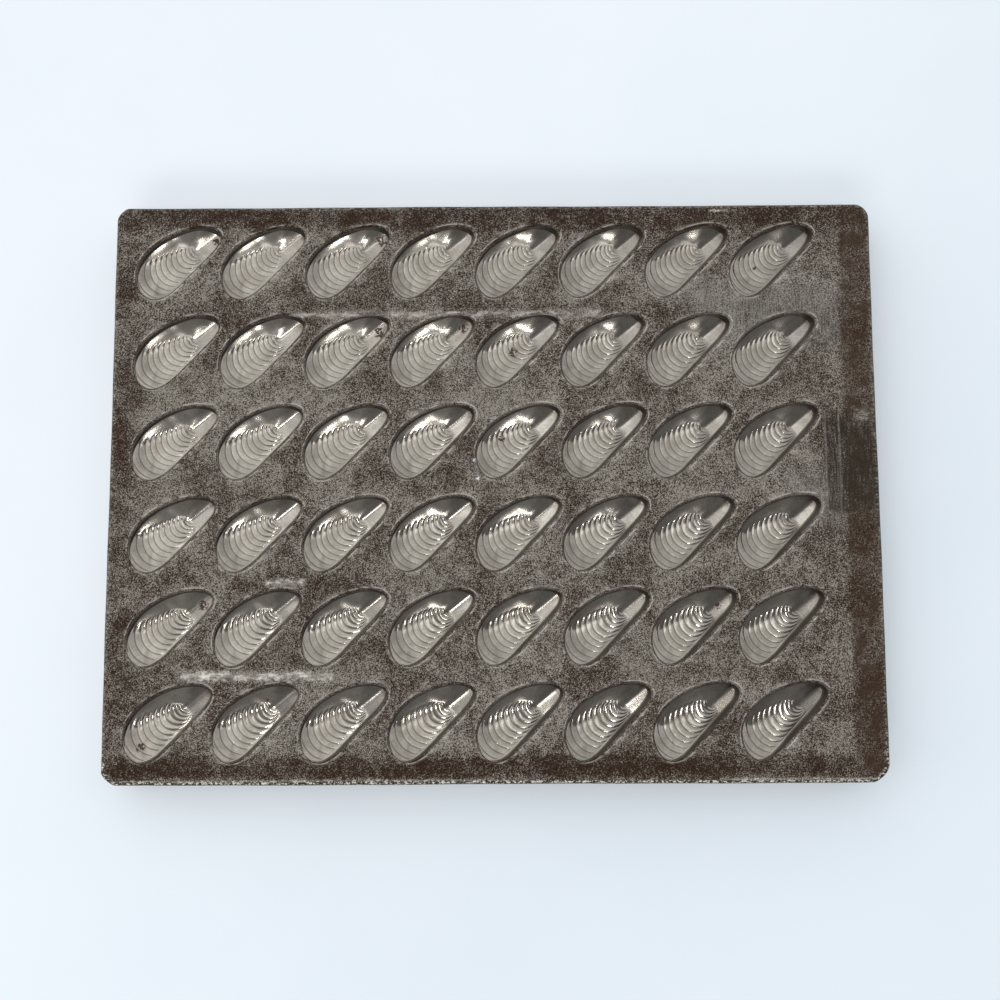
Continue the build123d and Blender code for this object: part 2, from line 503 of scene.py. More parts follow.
# No two cups are alike: their lean in mm per mm, the least and most of their bands' height, and their lines' shift
LEAN = 0.006
STRIKE = (0.75, 1.3)
SHIFT = 0.15
# How far below the top a cup stays, and between which depths its lean begins, in mm
COVERED = 0.02
LEANING = (1.2, 3.0)


class MOLD_OT_cups(bpy.types.Operator):
    """Make the 48 stamped mussel cups"""

    bl_idname = "mold.cups"
    bl_label = "Mussel Cups"

    def execute(self, context):
        plan, depths, faces, marks, glint = cup_shapes()
        turned_plan = turned(plan)
        material = nickel_plated_stamped_steel()
        random = np.random.default_rng(7)
        inside = marks["back"] < 0.5
        for row in range(ROWS):
            for column in range(COLUMNS):
                lean = random.normal(0, LEAN, 2)
                strike = random.uniform(*STRIKE)
                shift = random.uniform(-SHIFT, SHIFT)
                place = turned_plan + middle(row, column)
                level = marks["growth"] + shift
                tilt = (plan @ lean) * smoothstep(*LEANING, depths)
                up = band_height(level, marks["lines"], glint) * strike + tilt
                height = TOP - depths + np.where(inside, up, 0)
                points = np.column_stack([place, np.minimum(height, TOP - COVERED)])
                own = {**marks, "growth": level, "rust": rust_at(place) * inside}
                node = f"cup_r{row + 1}_c{column + 1}"
                make_piece(f"mussel_{node}", points, faces, [node], material, own)
        return {"FINISHED"}


def plate_corners():
    """The tray's corners from the near left one round, each a quarter of its own super-ellipse: X, Y, reach along X
    and Y, and power, where 1 is a straight cut and 2 a round one."""
    low, high = CAD_BOX
    x0, y0, x1, y1 = low.x / MM, low.y / MM, high.x / MM, high.y / MM
    return ((x0, y0, 6.4, 5.6, 1.45), (x1, y0, 7.6, 7.4, 1.6), (x1, y1, 5.8, 6.0, 1.8), (x0, y1, 5.0, 5.4, 1.5))


def corner_half(corner, share, along_y):
    """Points of one half of a corner, from its straight side to its middle, for shares 0 to 1."""
    x, y, reach_x, reach_y, power = corner
    angle = share * math.pi / 4 if along_y else math.pi / 2 - share * math.pi / 4
    a = np.cos(angle) ** (2 / power)
    b = np.sin(angle) ** (2 / power)
    return np.stack([x - math.copysign(reach_x, x) * (1 - a), y - math.copysign(reach_y, y) * (1 - b)], -1)


# Points along each side of a plate's cell and half round a corner, how far a cell's upright sides swing to pass
# between shells, and where its middle lies from the shell's, in mm
PER_SIDE = 24
PER_BEND = 6
SWING = 2.9
CELL_MIDDLE = (-0.045, -1.369)
# The lip's rings as shares of its width, and the apron's as shares of the way on to the cell's edge
LIP_RINGS = (0.0, 0.13, 0.27, 0.42, 0.58, 0.74, 0.88, 1.0)
APRON_RINGS = (0.25, 0.5, 0.75, 1.0)
# How far outside the outline the lip begins, in mm, how rubbed each ring is and how much painted shade darkens it
LIP_START = 0.8
CREST = (0, 0, 0, 0, 0.1, 0.55, 1.0, 0.35, 0, 0, 0, 0)
LIP_SHADE = (1, 1, 1, 1, 0.9, 0.6, 0.25, 0, 0, 0, 0, 0)
# How much lower than a sheet the underside is, in mm, for the waves of the top
UNDER = 0.1


def cell_edge():
    """Points round one cell from its near left corner: level near and far sides, and upright sides that swing by a
    sine, so that they pass between two nested shells."""
    t = np.arange(PER_SIDE) / PER_SIDE
    half_x, half_y = PITCH_X / 2, PITCH_Y / 2
    near = np.stack([-half_x + PITCH_X * t, np.full(PER_SIDE, -half_y)], -1)
    right = np.stack([half_x + SWING * np.sin(math.pi * (2 * t - 1)), -half_y + PITCH_Y * t], -1)
    return np.concatenate([near, right, -near, -right]) + np.array(CELL_MIDDLE)


def cell_rings():
    """Rings of one cell from the hole's lip out to its edge, as points, depths and the outline's angles: the lip is
    a curve that falls towards the hole, and the rest runs straight to the edge."""
    edge = cell_edge()
    fine = np.linspace(0, 2 * math.pi, 2001)[:-1]
    rim = turned(outline(fine))
    direction = np.unwrap(np.arctan2(rim[:, 1], rim[:, 0]))
    wanted = np.mod(np.arctan2(edge[:, 1], edge[:, 0]) - direction[0], 2 * math.pi)
    angle = np.interp(wanted, direction - direction[0], fine, period=2 * math.pi)
    base, normal = outline(angle), outward(angle)
    share = np.array(LIP_RINGS)
    low = -lip_inside(angle)
    offset = low[None] + (LIP_START - low)[None] * share[:, None]
    lip = turned(base[None] + normal[None] * offset[..., None])
    drop = lip_drop(angle)[None] * (1 - share[:, None]) ** 1.7
    apron = lip[-1] + np.array(APRON_RINGS)[:, None, None] * (edge - lip[-1])
    down = np.concatenate([drop, np.zeros((len(APRON_RINGS), len(angle)))])
    return np.concatenate([lip, apron]), down, angle


def top_level(xy):
    """Height of the old sheet's top: a few long sine waves across each other, just below level."""
    x, y = xy[..., 0], xy[..., 1]
    waves = np.sin(x / 23 + 1.3) * np.cos(y / 31 - 0.4)
    waves = (waves + 0.6 * np.sin(x / 11 + y / 17) + 0.4 * np.cos(x / 37 - y / 9 + 2)) / 2
    unevenness = settings_mm("mold_plate").unevenness
    return TOP - 0.01 - unevenness * (1 - waves) / 2


def plate_shape():
    """The whole plate: cells of rings on top and under it, and one profile carried round the tray that goes from the
    cells over the fold, down the skirt, under it and back inside."""
    plate = settings_mm("mold_plate")
    plan, down, angle = cell_rings()
    rings, around = plan.shape[:2]
    base, normal = outline(angle), outward(angle)
    # Under a cell: the lip's lower edge, the hole's edge, half way and the cell's edge
    hole = turned(base + normal * HOLE_OUTSIDE)
    lip_under = turned(base + normal * (-lip_inside(angle) + 0.12)[:, None])
    under_plan = np.stack([lip_under, hole, (plan[-1] + hole) / 2, plan[-1]])
    under_rings = len(under_plan)
    under_down = np.full((under_rings, around), plate.sheet + UNDER)
    under_down[0] = lip_drop(angle) + 0.3
    first = rings * around
    below = ring_faces(under_rings, around) + first
    cell = np.concatenate([ring_faces(rings, around)[:, ::-1], seam_faces(first, 0, around), below])
    points, quads = [], []
    size = (rings + under_rings) * around
    for row in range(ROWS):
        for column in range(COLUMNS):
            here = plan + middle(row, column)
            below = (under_plan + middle(row, column)).reshape(-1, 2)
            quads.append(cell + len(quads) * size)
            points.append(np.column_stack([here.reshape(-1, 2), (top_level(here) - down).ravel()]))
            points.append(np.column_stack([below, TOP - under_down.ravel()]))
    profile, edge_marks = skirt_profile()
    steps, length = profile.shape[:2]
    points.append(profile.reshape(-1, 3))
    quads.append(ring_faces(steps, length)[:, ::-1] + len(quads) * size)
    # Each mark of a cell's rings, top and underside, and of the profile's steps
    upper, lower = np.zeros(rings), np.zeros(under_rings)
    cell_marks = {"crest": (CREST, lower), "lip": (LIP_SHADE, lower), "underside": (upper, lower + 1)}
    marks = {}
    for name in ("crest", "lip", "fold", "skirt", "underside"):
        in_cell = np.repeat(np.concatenate(cell_marks.get(name, (upper, lower))), around)
        on_edge = np.repeat(edge_marks.get(name, np.zeros(steps)), length)
        marks[name] = np.concatenate([np.tile(in_cell, ROWS * COLUMNS), on_edge])
    return np.concatenate(points), np.concatenate(quads), marks


def tray_loop():
    """The edge of the block of cells, round from its near left corner, and the tray's outline opposite."""
    near, right, far, left = cell_edge().reshape(4, PER_SIDE, 2)
    inner = [near + middle(ROWS - 1, c) for c in range(COLUMNS)]
    inner += [right + middle(r, COLUMNS - 1) for r in range(ROWS - 1, -1, -1)]
    inner += [far + middle(0, c) for c in range(COLUMNS - 1, -1, -1)]
    inner += [left + middle(r, 0) for r in range(ROWS)]
    corners = plate_corners()
    outer = []
    for side in range(4):
        upright = side % 2 == 1
        count = PER_SIDE * (ROWS if upright else COLUMNS)
        k = np.arange(count)
        here = corner_half(corners[side], np.clip(1 - k / PER_BEND, 0, 1), upright)
        share = np.clip((k - (count - PER_BEND)) / PER_BEND, 0, 1)
        there = corner_half(corners[(side + 1) % 4], share, upright)
        straight = np.clip((k - PER_BEND) / (count - 2 * PER_BEND), 0, 1)[:, None]
        outer.append(here + straight * (there - here))
    return np.concatenate(inner), np.concatenate(outer)


# Steps of the skirt's profile: shares of the margin's width up to its end before the fold, in mm, a last place there
# and its fold mark, degrees round the fold and their fold marks, heights down the skirt, places inwards and heights
# under it, places inwards and depths below the underside inside it, and shares of the way back. The fold mark is
# broken wear with a painted highlight over painted shade
MARGIN_STEPS = (0.0, 0.2, 0.4, 0.6, 0.8, 1.0)
MARGIN_END = 1.6
FOLD_EDGE, FOLD_EDGE_MARK = 0.7, 0.35
FOLD_STEPS = ((0, 0.75), (15, 1.0), (30, 0.95), (45, 0.6), (60, 0.25), (75, 0.1), (90, 0.0))
SKIRT_HEIGHTS = (16, 11, 6, 2, 0.25)
SKIRT_UNDER = ((0.2, 0.0), (0.8, 0.0), (1.0, 0.25))
SKIRT_INSIDE = ((1.0, 0.5), (1.6, 0.0))
BACK_STEPS = (0.8, 0.4, 0.0)


def skirt_profile():
    """The profile's points and marks: level margin, quarter-round fold, upright skirt, its lower edge, its inside and
    the underside of the margin."""
    plate = settings_mm("mold_plate")
    radius = plate.fold_radius
    inner, outer = tray_loop()
    ahead = np.roll(outer, -1, 0) - np.roll(outer, 1, 0)
    normal = np.stack([ahead[:, 1], -ahead[:, 0]], -1)
    normal /= np.linalg.norm(normal, axis=1, keepdims=True)
    # The old edge is a little wavy: two sines along it, always inside the CAD's box
    along = outer[:, 0] + outer[:, 1] * 1.25
    edge = outer - normal * (0.15 + 0.10 * np.sin(along / 29) + 0.05 * np.sin(along / 7.3))[:, None]
    start = edge - normal * radius
    width = np.linalg.norm(start - inner, axis=1)[:, None]
    # Each step as its places, heights, and marks of fold, skirt and underside
    steps = []
    for share in MARGIN_STEPS:
        place = inner + share * (1 - MARGIN_END / width) * (start - inner)
        steps.append((place, top_level(place), 0.0, 0, 0))
    place = inner + (1 - FOLD_EDGE / width) * (start - inner)
    steps.append((place, top_level(place), FOLD_EDGE_MARK, 0, 0))
    for degrees, fold_mark in FOLD_STEPS:
        bent = math.radians(degrees)
        place = start + normal * radius * math.sin(bent)
        steps.append((place, top_level(start) - radius * (1 - math.cos(bent)), fold_mark, degrees / 90, 0))
    flat = np.zeros(len(outer))
    under = flat + TOP - plate.sheet - UNDER
    steps += [(edge, flat + height, 0.0, 1, 0) for height in SKIRT_HEIGHTS]
    steps += [(edge - normal * inset, flat + height, 0.0, 1, 1) for inset, height in SKIRT_UNDER]
    steps += [(edge - normal * inset, under - depth, 0.0, 1, 1) for inset, depth in SKIRT_INSIDE]
    steps += [(inner + share * (start - inner), under, 0.0, 0, 1) for share in BACK_STEPS]
    profile = np.array([np.column_stack([place, height]) for place, height, *_ in steps])
    marks = np.array([step[2:] for step in steps], float).T
    return profile, dict(zip(("fold", "skirt", "underside"), marks))


class MOLD_OT_plate(bpy.types.Operator):
    """Make the pierced plate with its folded skirt"""

    bl_idname = "mold.plate"
    bl_label = "Pierced Plate"

    def execute(self, context):
        points, quads, marks = plate_shape()
        make_piece("pierced_plate", points, [quads], ["plate"], worn_tinned_steel_sheet(), marks)
        return {"FINISHED"}


def start_material(name, patterns):
    """A new node material: itself, its tree, Object coordinates in millimetres and its noise fields from 0 to 1. Each
    field is given by its size in mm, stretch, detail, roughness and the two noise levels between which it rises."""
    material = bpy.data.materials.new(name)
    material.use_nodes = True
    tree = material.node_tree
    metres = add(tree, "ShaderNodeTexCoord", out="Object")
    place = add(tree, VECTOR, {0: metres, 3: 1 / MM}, operation="SCALE")
    fields = {}
    for label, (size, stretch, detail, rough, low, high) in patterns.items():
        scale = [1 / (size * k) for k in stretch]
        spread = add(tree, "ShaderNodeMapping", {"Vector": place, "Scale": scale})
        noise = add(tree, NOISE, {"Vector": spread, "Scale": 1.0, "Detail": detail, "Roughness": rough})
        fields[label] = add(tree, RANGE, (noise, low, high), **SMOOTH)
    return material, tree, place, fields


def finish_material(tree, colour, rough, metal, height):
    """Gives the shader its colour, roughness, metalness and bumps, whose height is in mm."""
    bump = add(tree, BUMP, {"Height": height, "Strength": 1.0, "Distance": MM})
    values = {"Base Color": colour, "Roughness": rough, "Metallic": metal, "Normal": bump}
    connect(tree, tree.nodes["Principled BSDF"], values)


def painted(tree, colour, layers):
    """A colour under layers, each a mask, how much of the layer shows there and its colour."""
    for mask, share, layer in layers:
        part = add(tree, MATH, (mask, share), **TIMES)
        colour = add(tree, MIX, {"Factor": part, 6: colour, 7: layer}, out=2, data_type="RGBA")
    return colour


def marks_of(tree, names):
    """The values of a mesh's marks."""
    return {name: add(tree, MARK, out="Fac", attribute_name=name) for name in names}


def past_box(tree, place, box):
    """How far each place is outside a box, given by its middle X and Y and half lengths, in mm."""
    off = add(tree, VECTOR, (place, (*box[:2], 0)), operation="SUBTRACT")
    off = add(tree, VECTOR, (off,), operation="ABSOLUTE")
    off = add(tree, VECTOR, (off, (*box[2:], 0)), operation="SUBTRACT")
    far = add(tree, SPLIT, (off,), out="X")
    return add(tree, MATH, (far, far.node.outputs["Y"]), operation="MAXIMUM")


# No stretch
LEVEL = (1, 1, 1)
# The cups' patterns. The satin grain of real plating is finer than a pixel, so it is drawn at 0.7 mm
CUP_PATTERNS = {
    "haze": (9.0, LEVEL, 3.0, 0.5, 0.38, 0.64),
    "stain": (3.0, LEVEL, 4.0, 0.6, 0.44, 0.62),
    "grain": (0.7, LEVEL, 2.0, 0.6, 0.40, 0.62),
    "broken": (1.1, LEVEL, 4.0, 0.6, 0.35, 0.62),
}


def nickel_plated_stamped_steel():
    """Nickel-plated stamped steel, for the cups."""
    # A warm grey satin mirror: the room's light and dark halves show in it, with thin tarnish in the growth lines,
    # a brown tip, painted shade on the steep wall, a few rust spots, and a dull back with paler solder
    c = bpy.context.scene.mold_colours
    material, tree, _, fields = start_material("nickel_plated_stamped_steel", CUP_PATTERNS)
    marks = marks_of(tree, ("growth", "lines", "wall", "tip", "rust", "back", "solder"))
    away = add(tree, MATH, (marks["growth"], 0.5), operation="PINGPONG")
    groove = add(tree, RANGE, (away, 0.14, 0.03), **SMOOTH)
    groove = add(tree, MATH, (groove, marks["lines"]), **TIMES)
    # Painted shade on the steep wall, where the cup is also rougher and less metallic
    steep = add(tree, RANGE, (marks["wall"], 0.03, 0.45), **SMOOTH)
    rusty = add(tree, MATH, (marks["rust"], fields["broken"]), **TIMES)
    rusty = add(tree, RANGE, (rusty, 0.15, 0.5), **SMOOTH)
    browned = add(tree, MATH, (fields["stain"], 0.55, 0.45), **TIMES_PLUS)
    browned = add(tree, MATH, (marks["tip"], browned), **TIMES)
    colour = painted(tree, tuple(c.plating), (
        (fields["haze"], 0.30, c.tarnish), (fields["stain"], 0.12, c.tarnish), (fields["grain"], 0.14, c.tarnish),
        (groove, 0.72, c.tarnish), (steep, 0.92, c.shade_and_grime), (browned, 0.75, c.stain), (rusty, 1.0, c.rust),
        (marks["back"], 1.0, c.iron), (marks["solder"], 0.8, c.solder),
    ))
    rough = add(tree, RANGE, {"Value": fields["haze"], "To Min": 0.10, "To Max": 0.17})
    smooth = add(tree, MATH, (1.0, marks["lines"]), operation="SUBTRACT")
    for mask, share in ((rusty, 0.4), (marks["back"], 0.22), (browned, 0.16), (steep, 0.25), (smooth, 0.05)):
        rough = add(tree, MATH, (mask, share, rough), **TIMES_PLUS)
    metal = add(tree, MATH, (steep, -0.5, 1.0), **TIMES_PLUS)
    metal = add(tree, MATH, (rusty, -0.9, metal), **TIMES_PLUS, use_clamp=True)
    height = add(tree, MATH, (fields["grain"], 0.004), **TIMES)
    height = add(tree, MATH, (groove, -0.03, height), **TIMES_PLUS)
    finish_material(tree, colour, rough, metal, height)
    return material


# The plate's patterns. The pits in old tin are far finer than a pixel, so they are drawn at 0.45 mm
PLATE_PATTERNS = {
    "pits": (0.45, LEVEL, 2.0, 0.7, 0.33, 0.67),
    "grain": (0.8, LEVEL, 3.0, 0.75, 0.34, 0.66),
    "fleck": (2.2, LEVEL, 4.0, 0.7, 0.36, 0.64),
    "blotch": (7.5, LEVEL, 4.0, 0.6, 0.38, 0.62),
    "cloud": (26.0, LEVEL, 3.0, 0.5, 0.40, 0.60),
    "brushed": (1.1, (0.7, 9, 1), 2.0, 0.6, 0.36, 0.64),
    "broken": (0.9, (1.4, 1, 1), 3.0, 0.75, 0.51, 0.56),
    "scuffed": (3.6, (2.5, 1, 1), 5.0, 0.7, 0.43, 0.58),
}

# How bare the plate is: at least this, and each pattern's share more
BARE_START = -0.72
BARE_SHARES = {"pits": 0.88, "grain": 0.44, "fleck": 0.18, "blotch": 0.19, "cloud": 0.22}
# Barer and browner zones: middle X and Y, half lengths and softness in mm, and the shift
PLATE_ZONES = (
    (-3, 0, 154, 113, 5, 0.10), (-161, 0, 6, 120, 4, -0.06), (0, 37, 150, 4, 4, 0.10), (118, 40, 32, 70, 12, 0.03),
    (0, 76, 150, 5, 4, -0.10), (0, -2, 150, 4, 4, 0.05), (0, -41, 150, 4, 4, -0.05), (0, 121, 170, 6, 3, -0.22),
    (0, -20, 150, 3, 4, -0.06), (-10, -117, 160, 4, 2, -0.22),
)
# Worn and stained areas of the plate, and a painted highlight with broken wear along the near edge: the same, then
# their pattern, how much of it shows and its colour
PLATE_AREAS = (
    (118, 75, 32, 12, 8, "brushed", 0.5, "scraped"), (137, -6, 11, 10, 7, "brushed", 0.5, "scraped"),
    (161.5, 0, 10.5, 130, 1.2, "blotch", 0.9, "stain"), (154, 10.95, 11.6, 21.95, 1.2, "brushed", 0.95, "shade_and_grime"),
    (142.6, 10.95, 0.3, 21.95, 0.4, "fleck", 0.6, "bare"), (148.5, 10.95, 0.3, 21.95, 0.4, "fleck", 0.5, "bare"),
    (159, 30.5, 3, 2.5, 2.5, "broken", 0.8, "bare"), (-21, 76, 67, 1.1, 1.8, "scuffed", 0.5, "bright"),
    (-100.5, -79.4, 31.5, 1.4, 1.8, "scuffed", 0.9, "bright"), (-89, -40.3, 8, 0.9, 1.4, "scuffed", 0.8, "bright"),
    (99, 122, 4, 0.4, 0.5, "broken", 0.8, "bright"), (-8, 12, 0.6, 0.6, 0.6, "broken", 1.0, "floor"),
    # The last two areas, along the near edge, are broken wear with a painted highlight
    (-7.05, 4, 0.55, 0.6, 0.6, "broken", 1.0, "floor"), (-84.5, -122.95, 78.5, 0.35, 0.5, "broken", 0.7, "bright"),
    (129, -122.95, 35, 0.35, 0.5, "broken", 0.7, "bright"),
)


def worn_tinned_steel_sheet():
    """Tinned steel sheet worn and browned by long use, for the plate."""
    # Dark brown oxide speckled with bare grey, browner and darker at the margins, scraped and stained in places, with
    # broken whitish wear over the strips and on the folded edge, where a painted highlight and painted shade lie on
    # its
    # near side, and painted shade on the lips: mostly matte, with a little of metal's own shine
    c = bpy.context.scene.mold_colours
    material, tree, place, fields = start_material("worn_tinned_steel_sheet", PLATE_PATTERNS)
    marks = marks_of(tree, ("crest", "lip", "fold", "skirt", "underside"))
    amount = BARE_START
    for name, share in BARE_SHARES.items():
        amount = add(tree, MATH, (fields[name], share, amount), **TIMES_PLUS)
    for *box, soft, shift in PLATE_ZONES:
        far = past_box(tree, place, box)
        within = add(tree, RANGE, (far, soft, -soft), **SMOOTH)
        amount = add(tree, MATH, (within, shift, amount), **TIMES_PLUS)
    bared = add(tree, RANGE, (amount, 0.12, 0.84))
    colour = add(tree, MIX, {"Factor": bared, 6: c.oxide, 7: c.bare}, out=2, data_type="RGBA")
    for *box, soft, pattern, share, layer in PLATE_AREAS:
        far = past_box(tree, place, box)
        # The areas end raggedly
        far = add(tree, MATH, (fields["fleck"], soft, far), **TIMES_PLUS)
        within = add(tree, RANGE, (far, 1.5 * soft, -0.5 * soft), **SMOOTH)
        part = add(tree, MATH, (fields[pattern], 0.75, 0.25), **TIMES_PLUS)
        part = add(tree, MATH, (part, within), **TIMES)
        colour = painted(tree, colour, [(part, share, getattr(c, layer))])
    # The fold has broken whitish wear with a painted highlight over painted shade, most on the near side where the
    # light falls on it, and the cups' raised rims are a little rubbed
    side = add(tree, SPLIT, (place,), out="Y")
    side = add(tree, RANGE, (side, -100.0, -121.0, 0.25, 1.0))
    worn_and_highlit = add(tree, MATH, (marks["fold"], fields["broken"]), **TIMES)
    worn_and_highlit = add(tree, MATH, (worn_and_highlit, side), **TIMES)
    shaded = add(tree, MATH, (marks["fold"], side), **TIMES)
    crest = add(tree, MATH, (marks["crest"], fields["scuffed"]), **TIMES)
    dull = add(tree, MATH, (fields["blotch"], 0.15, 0.5), **TIMES_PLUS)
    skirt = add(tree, MATH, (marks["skirt"], dull), **TIMES)
    # Dull iron on the skirt and underside, painted shade on the lips and the fold, then rubbed rims and the fold's
    # wear and painted highlight
    colour = painted(tree, colour, (
        (skirt, 1.0, c.iron), (marks["underside"], 0.55, c.iron), (marks["lip"], 0.15, c.shade_and_grime),
        (crest, 0.55, c.bright), (shaded, 0.9, c.shade_and_grime), (worn_and_highlit, 1.0, c.bright),
    ))
    rough = add(tree, RANGE, {"Value": bared, "To Min": 0.62, "To Max": 0.44})
    height = add(tree, MATH, (fields["grain"], 0.01), **TIMES)
    height = add(tree, MATH, (fields["fleck"], 0.012, height), **TIMES_PLUS)
    finish_material(tree, colour, rough, 0.3, height)
    connect(tree, tree.nodes["Principled BSDF"], {"Specular IOR Level": 0.2})
    return material


# The iron's patterns
IRON_PATTERNS = {"blotch": (7.0, LEVEL, 4.0, 0.5, 0.35, 0.65), "specks": (1.2, LEVEL, 4.0, 0.5, 0.5, 0.7)}


def tinned_flat_iron():
    """Hot-tinned flat iron, for the frame bars and strips."""
    # A dull, slightly uneven grey with soft blotches and a few brown specks
    c = bpy.context.scene.mold_colours
    material, tree, _, fields = start_material("tinned_flat_iron", IRON_PATTERNS)
    layers = ((fields["blotch"], 0.7, c.solder), (fields["specks"], 0.6, c.stain))
    colour = painted(tree, tuple(c.iron), layers)
    rough = add(tree, RANGE, {"Value": fields["blotch"], "To Min": 0.38, "To Max": 0.55})
    height = add(tree, MATH, (fields["specks"], 0.02), **TIMES)
    finish_material(tree, colour, rough, 0.85, height)
    return material


class MOLD_OT_bars(bpy.types.Operator):
    """Finish the frame bars and stiffening strips"""

    bl_idname = "mold.bars"
    bl_label = "Frame Bars and Strips"

    def execute(self, context):
        material = tinned_flat_iron()
        for name in ("rail_far", "rail_near", "rail_left", "rail_right", "strip_far", "strip_near"):
            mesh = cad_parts[name].data
            mesh.materials.clear()
            mesh.materials.append(material)
        return {"FINISHED"}


# How much of the floor that is seen is even light, for a light shadow, and half its length in metres
EVEN_FLOOR_LIGHT = 0.18
FLOOR_REACH = 12


def matte_backdrop_paper():
    """Matte white paper, for the floor."""
    # A flat, faintly blue white, darker towards the near right: part of what the camera and mirrors see is even light
    c = bpy.context.scene.mold_colours
    patterns = {"mottle": (60.0, LEVEL, 3.0, 0.5, 0.3, 0.7)}
    material, tree, place, fields = start_material("matte_backdrop_paper", patterns)
    shader = tree.nodes["Principled BSDF"]
    side = add(tree, SPLIT, (place,), out="X")
    side = add(tree, MATH, (side, side.node.outputs["Y"]), operation="SUBTRACT")
    side = add(tree, RANGE, (side, -150.0, 200.0, 0.0, 0.7))
    part = add(tree, MATH, (fields["mottle"], 0.1, side), **TIMES_PLUS)
    colour = add(tree, MIX, {"Factor": part, 6: c.floor, 7: c.floor_far}, out=2, data_type="RGBA")
    connect(tree, shader, {"Base Color": colour, "Roughness": 0.9, "Specular IOR Level": 0.2})
    seen = 0.0
    for ray in ("Is Camera Ray", "Is Glossy Ray", "Is Transmission Ray"):
        kind = add(tree, "ShaderNodeLightPath", out=ray)
        seen = add(tree, MATH, (kind, seen), operation="MAXIMUM")
    share = add(tree, MATH, (seen, EVEN_FLOOR_LIGHT), **TIMES)
    even = add(tree, "ShaderNodeEmission", {"Color": colour, "Strength": 1.0})
    both = add(tree, "ShaderNodeMixShader", (share, shader.outputs[0], even))
    connect(tree, tree.nodes["Material Output"], {"Surface": both})
    return material


# Each lamp's name, place in metres, two sides in metres, power in watts, and whether mirrors show it
LAMPS = (
    ("high_softbox", (0.42, -1.09, 3.0), (0.36, 0.32), 6.5, True),
    ("near_fill", (-0.5, -2.3, 2.1), (2.0, 0.9), 22.0, False),
)
# Brightness of the ceiling's near and far side, the strip between them, the walls' foot, the halo beside the softbox,
# and of all together
NEAR_CEILING, FAR_CEILING = 0.26, 1.0
BRIGHT_STRIP = 0.85
PALE_HORIZON = 0.6
SOFTBOX_HALO = 0.3
STUDIO_LEVEL = 1.22
# The softbox's place on the ceiling as slopes from the zenith, X over Z and Y over Z, and how much nearer the bright
# side reaches on the left
SOFTBOX_SLOPES = (0.14, -0.36)
LEFT_REACH = 0.35
# Each edge as its axis, where it begins and ends, and its value on both sides
CEILING_EDGES = {
    "ceiling": ("leaned", -0.18, -0.08, NEAR_CEILING, FAR_CEILING),
    "along": ("X", -0.8, 0.8, 1.25, 0.68),
    "halo": ("off", 0.075, 0.0, 0.0, SOFTBOX_HALO),
    "strip_left": ("X", -0.16, -0.04, 0.0, 1.0),
    "strip_right": ("X", 0.44, 0.32, 0.0, 1.0),
    "strip_near": ("Y", -0.158, -0.105, 0.0, 1.0),
    "strip_far": ("Y", 0.052, -0.035, 0.0, 1.0),
    "wall": ("Z", 0.05, 0.6, 0.75, 1.0),
    "horizon": ("Z", 0.05, 0.26, PALE_HORIZON, 0.0),
}
# The camera's place and aim in mm, its roll, and its lens in mm
CAMERA_PLACE = (3.41793, -62.46296, 531.74269)
CAMERA_AIM = (2.59225, -5.40525, TOP)
CAMERA_ROLL = -0.00502
CAMERA_LENS = 43.2


def studio_world():
    """The studio round the mold: a ceiling that is dim on the near side and bright from above towards the far side,
    brighter on the left than on the right, with a bright strip where the two meet, a soft halo round the softbox,
    walls that darken downwards and a pale band along the floor."""
    world = bpy.data.worlds.new("studio")
    world.use_nodes = True
    tree = world.node_tree
    direction = add(tree, "ShaderNodeTexCoord", out="Generated")
    up = add(tree, SPLIT, (direction,), out="Z")
    over = add(tree, MATH, (up, 0.02), operation="MAXIMUM")
    axes = {"Z": up}
    for axis in ("X", "Y"):
        axes[axis] = add(tree, MATH, (up.node.outputs[axis], over), operation="DIVIDE")
    left = add(tree, MATH, (axes["X"], 0.0), operation="MINIMUM")
    axes["leaned"] = add(tree, MATH, (left, -LEFT_REACH, axes["Y"]), **TIMES_PLUS)
    # The square of the slope's distance from the softbox
    off_x = add(tree, MATH, (axes["X"], SOFTBOX_SLOPES[0]), operation="SUBTRACT")
    off_y = add(tree, MATH, (axes["Y"], SOFTBOX_SLOPES[1]), operation="SUBTRACT")
    off_x = add(tree, MATH, (off_x, off_x), **TIMES)
    axes["off"] = add(tree, MATH, (off_y, off_y, off_x), **TIMES_PLUS)
    parts = {}
    for name, (axis, *ends) in CEILING_EDGES.items():
        parts[name] = add(tree, RANGE, (axes[axis], *ends), **SMOOTH)
    strip = BRIGHT_STRIP
    for name in ("strip_left", "strip_right", "strip_near", "strip_far"):
        strip = add(tree, MATH, (parts[name], strip), **TIMES)
    for name in ("horizon", "halo"):
        strip = add(tree, MATH, (strip, parts[name]), operation="ADD")
    glow = add(tree, MATH, (parts["ceiling"], parts["along"]), **TIMES)
    glow = add(tree, MATH, (glow, parts["wall"], strip), **TIMES_PLUS)
    glow = add(tree, MATH, (glow, STUDIO_LEVEL), **TIMES)
    room = tuple(bpy.context.scene.mold_colours.room)
    connect(tree, tree.nodes["Background"], {"Color": room, "Strength": glow})
    return world


